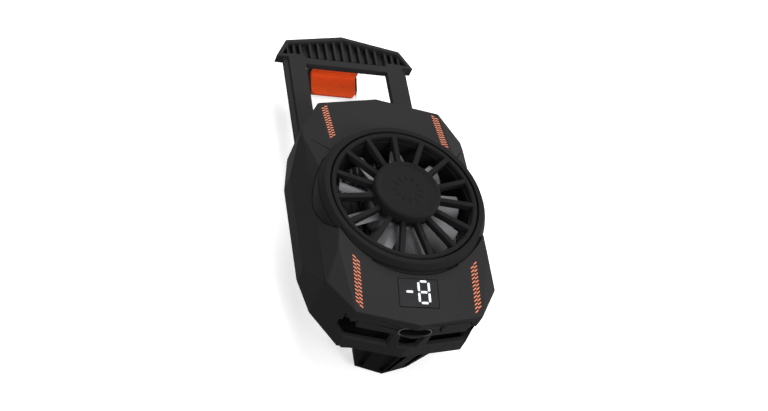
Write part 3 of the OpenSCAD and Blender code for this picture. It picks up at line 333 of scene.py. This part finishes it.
def cellular_foam(name):
    """Polyethylene foam, closed cell, sliced."""
    # Cut cells make a dull black skin of small dimples; the colour is darkest at each dimple's floor, painted shade
    # in the dimples.
    mat, tree, place = new_material(name)
    cells = add(tree, "ShaderNodeTexVoronoi", {"Vector": place, "Scale": per_mm(0.4)}, feature="SMOOTH_F1")
    tone = add(tree, "ShaderNodeMix",
               {0: cells.outputs["Distance"], 6: rgba(linear("121213")), 7: rgba(linear("262628"))},
               data_type="RGBA")
    bump = add(tree, "ShaderNodeBump", {"Height": cells.outputs["Distance"], "Strength": 0.6, "Distance": 0.15 * MM})
    skin = add(tree, "ShaderNodeBsdfPrincipled",
               {"Base Color": tone.outputs[2], "Roughness": 0.92, "Specular IOR Level": 0.2,
                "Normal": bump.outputs["Normal"]})
    add(tree, "ShaderNodeOutputMaterial", {"Surface": skin.outputs["BSDF"]})
    return mat


def lit_acrylic(name, colour):
    """Milky acrylic, moulded, lit from behind."""
    # The diodes behind it make the bars glow almost evenly, a little weaker at their ends.
    mat, tree, place = new_material(name)
    haze = add(tree, "ShaderNodeTexNoise", {"Vector": place, "Scale": per_mm(0.8), "Detail": 2.0})
    tone = add(tree, "ShaderNodeMix", {0: haze.outputs["Fac"], 6: shade(colour, 0.85), 7: shade(colour, 1.0)},
               data_type="RGBA")
    skin = add(tree, "ShaderNodeBsdfPrincipled",
               {"Base Color": tone.outputs[2], "Roughness": 0.35, "IOR": 1.49, "Emission Color": rgba(colour),
                "Emission Strength": 0.15})
    add(tree, "ShaderNodeOutputMaterial", {"Surface": skin.outputs["BSDF"]})
    return mat


def studio_paper(name):
    """Paper, matte coated."""
    # A seamless white sheet: no gloss, an even tone, and soft shadows under the part.
    mat, tree, place = new_material(name)
    fibre = add(tree, "ShaderNodeTexNoise", {"Vector": place, "Scale": per_mm(1.5), "Detail": 2.0})
    tone = add(tree, "ShaderNodeMix",
               {0: fibre.outputs["Fac"], 6: rgba(linear("EFEFEE")), 7: rgba(linear("F4F4F3"))}, data_type="RGBA")
    seen = add(tree, "ShaderNodeLightPath")
    first = add(tree, "ShaderNodeMath", {0: seen.outputs["Is Camera Ray"], 1: seen.outputs["Is Glossy Ray"]},
                operation="MAXIMUM")
    both = add(tree, "ShaderNodeMath", {0: first.outputs[0], 1: seen.outputs["Is Transmission Ray"]},
               operation="MAXIMUM")
    # The paper looks white, but it throws little light back up, as if the part hung far above it.
    cast = add(tree, "ShaderNodeMix", {0: both.outputs[0], 6: rgba(linear("363636")), 7: tone.outputs[2]},
               data_type="RGBA")
    sheet = add(tree, "ShaderNodeBsdfDiffuse", {"Color": cast.outputs[2]})
    level = add(tree, "ShaderNodeMath", {0: both.outputs[0], 1: 0.55}, operation="MULTIPLY")
    glow = add(tree, "ShaderNodeEmission", {"Color": (1, 1, 1, 1), "Strength": level.outputs[0]})
    lit = add(tree, "ShaderNodeAddShader", {0: sheet.outputs["BSDF"], 1: glow.outputs["Emission"]})
    add(tree, "ShaderNodeOutputMaterial", {"Surface": lit.outputs["Shader"]})
    return mat


def link(name, mesh):
    """A new object at the origin that shows the mesh."""
    obj = bpy.data.objects.new(name, mesh)
    bpy.context.scene.collection.objects.link(obj)
    return obj


def piece(name, bm, mat, body, slot, *nodes):
    """Turns a bmesh into a finished piece that rides on a body and stands for CAD nodes."""
    mesh = bpy.data.meshes.new(name)
    bm.to_mesh(mesh)
    bm.free()
    mesh.materials.append(mat)
    obj = link(name, mesh)
    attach(obj, body)
    if nodes:
        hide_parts(*nodes)
    return obj


def body_and_slot(node):
    """The body that a CAD node rides on and its record's material slot."""
    record = frame["record"]
    body = next(b for b, members in record["behaviour"]["bodies"].items() if node in members)
    slot = next(p["material_slot"] for p in record["subparts"] if p["node"] == node)
    return body, slot


def soft_edges(obj, width, angle):
    """Rounds an object's sharp edges and keeps its flat faces flat."""
    bevel = obj.modifiers.new("Soft edges", "BEVEL")
    bevel.width = width
    bevel.segments = 2
    bevel.profile = 0.5
    bevel.limit_method = "ANGLE"
    bevel.angle_limit = angle
    bevel.use_clamp_overlap = False
    bevel.material = -1
    normals = obj.modifiers.new("Flat faces", "WEIGHTED_NORMAL")
    normals.keep_sharp = True
    normals.weight = 80


def softened(node, mat, width, angle):
    """A merged copy of a CAD node with softly rounded edges, in its place."""
    bm = bmesh.new()
    bm.from_mesh(frame["nodes"][node].data)
    bmesh.ops.remove_doubles(bm, verts=bm.verts, dist=0.002 * MM)
    for face in bm.faces:
        face.smooth = True
    body, slot = body_and_slot(node)
    obj = piece(node + "_soft", bm, mat, body, slot, node)
    soft_edges(obj, width, angle)
    return obj


def dress(node, mat):
    """Gives a CAD node that keeps its shape its finish."""
    mesh = frame["nodes"][node].data
    mesh.materials.clear()
    mesh.materials.append(mat)


class COOLER_OT_housing(bpy.types.Operator):
    """Softens the moulded shells, the jaw and the button, and gives them their grain"""

    bl_idname = "cooler.housing"
    bl_label = "Housing and Jaw"

    def execute(self, context):
        sizes = context.scene.cooler_sizes
        colours = context.scene.cooler_colours
        shell = grained_abs("Spark-eroded charcoal ABS", colours.housing, 0.55, 0.35, 0.25)
        # The rear cover takes the housing colour at 0.3, a darker copy of the same finish: painted shade that
        # darkens the lower hook and the vents
        cover_in_painted_shade = grained_abs("Spark-eroded ABS in painted shade", [c * 0.3 for c in colours.housing], 0.6, 0.35, 0.25)
        softened("front_shell", shell, sizes.edge_round, math.radians(9))
        softened("clamp_frame", shell, sizes.edge_round, math.radians(15))
        softened("power_button", shell, sizes.trim_round, math.radians(25))
        dress("rear_cover", cover_in_painted_shade)
        return {"FINISHED"}


class COOLER_OT_fan(bpy.types.Operator):
    """Softens the bezel, the guard and the cap, and finishes the impeller"""

    bl_idname = "cooler.fan"
    bl_label = "Fan"

    def execute(self, context):
        sizes = context.scene.cooler_sizes
        colours = context.scene.cooler_colours
        trim = grained_abs("Satin black ABS", colours.fan, 0.42, 0.3, 0.15)
        for node in ("bezel_ring", "fan_guard", "hub_cap"):
            softened(node, trim, sizes.trim_round, math.radians(30))
        blades = smoked_polycarbonate("Polished smoked polycarbonate", colours.blades, 0.45, 0.15)
        softened("impeller", blades, 0.08 * MM, math.radians(40))
        return {"FINISHED"}


class COOLER_OT_motor(bpy.types.Operator):
    """Finishes the motor inside the fan's hub"""

    bl_idname = "cooler.motor"
    bl_label = "Motor"

    def execute(self, context):
        dress("magnet_ring", pressed_powder("Bonded ferrite", "34312F", 0.7, 0.12, 0.0))
        dress("rotor_shaft", drawn_metal("Ground steel", "B9BABC", 0.25, 0.06, 2))
        dress("bearing_sleeve", pressed_powder("Sintered bronze", "A5854A", 0.45, 0.12, 1.0))
        dress("stator_core", laminated_steel("Stacked electrical steel"))
        dress("stator_coils", enamelled_copper("Wound enamelled copper"))
        return {"FINISHED"}


class COOLER_OT_cooling(bpy.types.Operator):
    """Finishes the heat sink, the thermoelectric module, its gasket and the cold plate"""

    bl_idname = "cooler.cooling"
    bl_label = "Cooling Stack"

    def execute(self, context):
        sizes = context.scene.cooler_sizes
        dress("heatsink", drawn_metal("Extruded aluminium", "D6D7D9", 0.34, 0.15, 1))
        dress("peltier_module", pressed_powder("Fired alumina", "E6E3DA", 0.6, 0.15, 0.0))
        dress("foam_gasket", cellular_foam("Closed-cell foam"))
        softened("cold_plate", drawn_metal("Brushed aluminium", "C6C8CA", 0.36, 0.12, 1),
                 sizes.trim_round, math.radians(25))
        return {"FINISHED"}


class COOLER_OT_electrics(bpy.types.Operator):
    """Finishes the boards, the socket, the switch, the screws and the readout"""

    bl_idname = "cooler.electrics"
    bl_label = "Electrics and Readout"

    def execute(self, context):
        colours = context.scene.cooler_colours
        board = masked_board("Green masked board")
        for node in ("control_board", "motor_board"):
            dress(node, board)
        plated = drawn_metal("Stamped black-nickel steel", "38383A", 0.42, 0.1, 1)
        for node in ("usb_shell", "tact_switch"):
            dress(node, plated)
        dress("case_screws", drawn_metal("Blackened steel", "5A5B5E", 0.4, 0.08, 2))
        insulator = grained_abs("Moulded black polymer", linear("171717"), 0.5, 0.25, 0.1)
        for node in ("usb_tongue", "display_module"):
            dress(node, insulator)
        dress("display_window", smoked_polycarbonate("Polished smoked acrylic", linear("2C2C2E"), 0.35, 0.04))
        dress("display_segments", lit_acrylic("Lit milky acrylic", colours.digits))
        return {"FINISHED"}


def profile_block(points, width):
    """A block along X from its outline in Y and Z, in millimetres."""
    bm = bmesh.new()
    ring = [bm.verts.new((-width / 2 * MM, y * MM, z * MM)) for y, z in points]
    side = bm.faces.new(ring)
    grown = bmesh.ops.extrude_face_region(bm, geom=[side], use_keep_orig=True)
    far = [v for v in grown["geom"] if isinstance(v, bmesh.types.BMVert)]
    bmesh.ops.translate(bm, verts=far, vec=(width * MM, 0, 0))
    bmesh.ops.recalc_face_normals(bm, faces=bm.faces)
    return bm


def groove(bm, place, along, inward, half, depth, reach):
    """Presses a groove along X into the faces that a plane across them cuts, at most reach from place."""
    for step in (-half, 0.0, half):
        bmesh.ops.bisect_plane(bm, geom=bm.verts[:] + bm.edges[:] + bm.faces[:], dist=1e-7,
                               plane_co=place + along * step, plane_no=along)
    floor = [v for v in bm.verts
             if abs((v.co - place).dot(along)) < 1e-6 and abs((v.co - place).dot(inward)) < reach]
    bmesh.ops.translate(bm, verts=floor, vec=inward * depth)


class COOLER_OT_pads(bpy.types.Operator):
    """Builds the jaw's pad and the lower hook's pad in orange rubber"""

    bl_idname = "cooler.pads"
    bl_label = "Rubber Pads"

    def execute(self, context):
        sizes = context.scene.cooler_sizes
        rubber = silicone_rubber("Moulded orange silicone", context.scene.cooler_colours.pads)
        low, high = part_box("jaw_pad")
        # the lip leans 19 degrees and starts 9 mm behind the cold plate's face, as in the CAD
        tilt = math.radians(19)
        out = Vector((0, math.cos(tilt), math.sin(tilt)))
        up = Vector((0, -math.sin(tilt), math.cos(tilt)))
        corner = Vector((0, high.y / MM, -9.0))
        length, thick, seat = 6.5, 1.4, 1.0
        bend = corner + up * thick
        bend -= out * ((bend.y - corner.y + seat) / out.y)
        tip = corner - out * length
        top = high.z / MM
        outline = [(corner.y, top), (corner.y - seat, top), (bend.y, bend.z), tuple((tip + up * thick).yz),
                   tuple(tip.yz), (corner.y, corner.z)]
        bm = profile_block(outline, (high.x - low.x) / MM)
        tips = [e for e in bm.edges if all((v.co / MM - tip).dot(out) < 0.01 for v in e.verts)
                and abs(e.verts[0].co.x - e.verts[1].co.x) < 1e-6]
        bmesh.ops.bevel(bm, geom=tips, offset=sizes.tip_round, segments=8, profile=0.5, affect="EDGES", material=-1)
        seat_grooves = (-6.9, -6.2, -5.5, -4.8, -4.1, -3.4, -2.7, -2.0)
        lip_grooves = (0.55, 1.1, 1.65, 2.2, 2.75)
        for z in seat_grooves:
            groove(bm, Vector((0, corner.y - seat, z)) * MM, Vector((0, 0, 1)), Vector((0, 1, 0)),
                   0.16 * MM, sizes.rib_depth, 0.05 * MM)
        for step in lip_grooves:
            groove(bm, (bend - out * step) * MM, out, -up, 0.13 * MM, sizes.rib_depth * 0.6, 0.05 * MM)
        pad = piece("jaw_pad_rubber", bm, rubber, "jaw", "orange_rubber", "jaw_pad")
        soft_edges(pad, sizes.pad_round, math.radians(50))

        low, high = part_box("lower_pad")
        wall = 0.6
        near, far, foot, top = low.y / MM, high.y / MM, low.z / MM, high.z / MM
        outline = [(near, foot), (far, foot), (far, foot + wall), (near + wall, foot + wall), (near + wall, top),
                   (near, top)]
        bm = profile_block(outline, (high.x - low.x) / MM)
        hook_grooves = (-6.5, -5.5, -4.5, -3.5, -2.5)
        for z in hook_grooves:
            groove(bm, Vector((0, near + wall, z)) * MM, Vector((0, 0, 1)), Vector((0, -1, 0)),
                   0.14 * MM, sizes.rib_depth, 0.05 * MM)
        pad = piece("lower_pad_rubber", bm, rubber, "base", "orange_rubber", "lower_pad")
        soft_edges(pad, sizes.pad_round * 0.7, math.radians(50))
        return {"FINISHED"}


class COOLER_OT_strips(bpy.types.Operator):
    """Prints the four dashed strips on the sloping panels"""

    bl_idname = "cooler.strips"
    bl_label = "Printed Strips"

    def execute(self, context):
        sizes = context.scene.cooler_sizes
        ink = printed_ink("Pad-printed orange ink", context.scene.cooler_colours.ink)
        pitch = sizes.dash_pitch / MM
        half = sizes.dash_width / MM / 2
        column = sizes.column_width / MM
        film, sunk, gap = 0.03, 0.02, 0.07
        # each panel's first row in Y, strip's middle in X, height at Y 0, slope in degrees and dash slant
        panels = (("lower", -18.6, 15.6, 27.48, 12.3, 0.65), ("upper", 19.1, 15.75, 25.58, -11.3, 0.35))
        for name, start, middle, height, slope, slant in panels:
            way = math.copysign(1.0, start)
            for hand, side in (("left", -1), ("right", 1)):
                bm = bmesh.new()
                ring = [(0, -half), (0, half), (column - gap, slant + half), (column - gap, slant - half)]
                face = bm.faces.new([bm.verts.new((x, y, -sunk)) for x, y in ring])
                grown = bmesh.ops.extrude_face_region(bm, geom=[face], use_keep_orig=True)
                lid = [v for v in grown["geom"] if isinstance(v, bmesh.types.BMVert)]
                bmesh.ops.translate(bm, verts=lid, vec=(0, 0, film + sunk))
                dash = bm.verts[:] + bm.edges[:] + bm.faces[:]
                for spot in range(1, 2 * sizes.dash_count):
                    row, inner = divmod(spot, 2)
                    twin = bmesh.ops.duplicate(bm, geom=dash)["geom"]
                    bmesh.ops.translate(bm, verts=[v for v in twin if isinstance(v, bmesh.types.BMVert)],
                                        vec=(inner * column, row * pitch + inner * (slant + pitch / 2), 0))
                # the strip's own x runs inwards from its outer edge, its y away from the fan
                lay = Matrix(((-side, 0, 0, side * (middle + column)), (0, way, 0, start),
                              (0, 0, 1, height), (0, 0, 0, 1)))
                lean = Matrix.Identity(4)
                lean[2][1] = math.tan(math.radians(slope))
                bmesh.ops.transform(bm, matrix=Matrix.Scale(MM, 4) @ lean @ lay, verts=bm.verts)
                bmesh.ops.recalc_face_normals(bm, faces=bm.faces)
                piece("strip_" + name + "_" + hand, bm, ink, "base", "orange_rubber")
        return {"FINISHED"}


class COOLER_OT_stage(bpy.types.Operator):
    """Sets the pale floor, the soft studio lights and the camera"""

    bl_idname = "cooler.stage"
    bl_label = "Stage"

    def execute(self, context):
        scene = context.scene
        scene.view_settings.view_transform = "Standard"
        bm = bmesh.new()
        bmesh.ops.create_grid(bm, x_segments=8, y_segments=8, size=4.0)
        bmesh.ops.translate(bm, verts=bm.verts, vec=(0, 0, cad_box[0][2] - 0.05 * MM))
        mesh = bpy.data.meshes.new("floor")
        bm.to_mesh(mesh)
        bm.free()
        mesh.materials.append(studio_paper("Matte white paper"))
        floor = link("floor", mesh)

        world = bpy.data.worlds.new("Studio")
        world.use_nodes = True
        tree = world.node_tree
        tree.nodes.clear()
        seen = add(tree, "ShaderNodeLightPath")
        first = add(tree, "ShaderNodeMath", {0: seen.outputs["Is Camera Ray"], 1: seen.outputs["Is Glossy Ray"]},
                    operation="MAXIMUM")
        both = add(tree, "ShaderNodeMath", {0: first.outputs[0], 1: seen.outputs["Is Transmission Ray"]},
                   operation="MAXIMUM")
        level = add(tree, "ShaderNodeMapRange", {"Value": both.outputs[0], "To Min": 0.05, "To Max": 1.0})
        sky = add(tree, "ShaderNodeBackground", {"Color": (1, 1, 1, 1), "Strength": level.outputs["Result"]})
        add(tree, "ShaderNodeOutputWorld", {"Surface": sky.outputs["Background"]})
        scene.world = world

        aim = Vector((0, 10 * MM, 15 * MM))
        # name, place and edge in metres, watts
        lamps = (("Front", (0.16, -0.56, 0.60), 0.35, 2.5), ("Key", (0.10, 0.0, 0.85), 0.40, 2.3),
                 ("Top", (0.0, 0.60, 0.60), 0.40, 4.6), ("Left", (-0.75, -0.25, 0.30), 0.35, 2.2),
                 ("Side", (0.80, -0.24, 0.16), 0.30, 4.6))
        for name, place, size, watts in lamps:
            lamp = bpy.data.lights.new(name, "AREA")
            lamp.shape = "SQUARE"
            lamp.size = size
            lamp.energy = watts
            obj = bpy.data.objects.new(name, lamp)
            obj.location = place
            obj.rotation_euler = (aim - Vector(place)).to_track_quat("-Z", "Y").to_euler()
            scene.collection.objects.link(obj)

        lens = bpy.data.cameras.new("Photo camera")
        lens.sensor_width = 36.0
        lens.lens = 68.57
        lens.clip_start = 0.01
        camera = bpy.data.objects.new("Photo camera", lens)
        # the camera's axes and place were solved from the edges of the part in the picture
        right = Vector((0.93562, -0.15075, 0.31919))
        up = Vector((-0.06586, 0.81381, 0.57739))
        back = Vector((-0.3468, -0.5612, 0.7515))
        turn = Matrix((right, up, back)).transposed().to_4x4()
        camera.matrix_world = Matrix.Translation(Vector((-133.62, -209.81, 300.44)) * MM) @ turn
        scene.collection.objects.link(camera)
        scene.camera = camera
        return {"FINISHED"}


class COOLER_PT_dressing(bpy.types.Panel):
    """Lists the cooler's operators, sizes and colours"""

    bl_idname = "COOLER_PT_dressing"
    bl_label = "Phone Cooler"
    bl_space_type = "VIEW_3D"
    bl_region_type = "UI"
    bl_category = "Cooler"

    def draw(self, context):
        layout = self.layout
        for operator in OPERATORS:
            layout.operator(operator.bl_idname)
        for group in (context.scene.cooler_sizes, context.scene.cooler_colours):
            box = layout.box()
            for name in group.__annotations__:
                box.prop(group, name)


OPERATORS = (COOLER_OT_stage, COOLER_OT_housing, COOLER_OT_fan, COOLER_OT_motor, COOLER_OT_cooling,
             COOLER_OT_electrics, COOLER_OT_pads, COOLER_OT_strips)
CLASSES = (CoolerSizes, CoolerColours) + OPERATORS + (COOLER_PT_dressing,)


def register():
    for cls in CLASSES:
        bpy.utils.register_class(cls)
    bpy.types.Scene.cooler_sizes = PointerProperty(type=CoolerSizes)
    bpy.types.Scene.cooler_colours = PointerProperty(type=CoolerColours)


def unregister():
    del bpy.types.Scene.cooler_colours
    del bpy.types.Scene.cooler_sizes
    for cls in reversed(CLASSES):
        bpy.utils.unregister_class(cls)


def main():
    register()
    bpy.ops.cooler.stage()
    bpy.ops.cooler.housing()
    bpy.ops.cooler.fan()
    bpy.ops.cooler.motor()
    bpy.ops.cooler.cooling()
    bpy.ops.cooler.electrics()
    bpy.ops.cooler.pads()
    bpy.ops.cooler.strips()


if __name__ == "__main__":
    main()
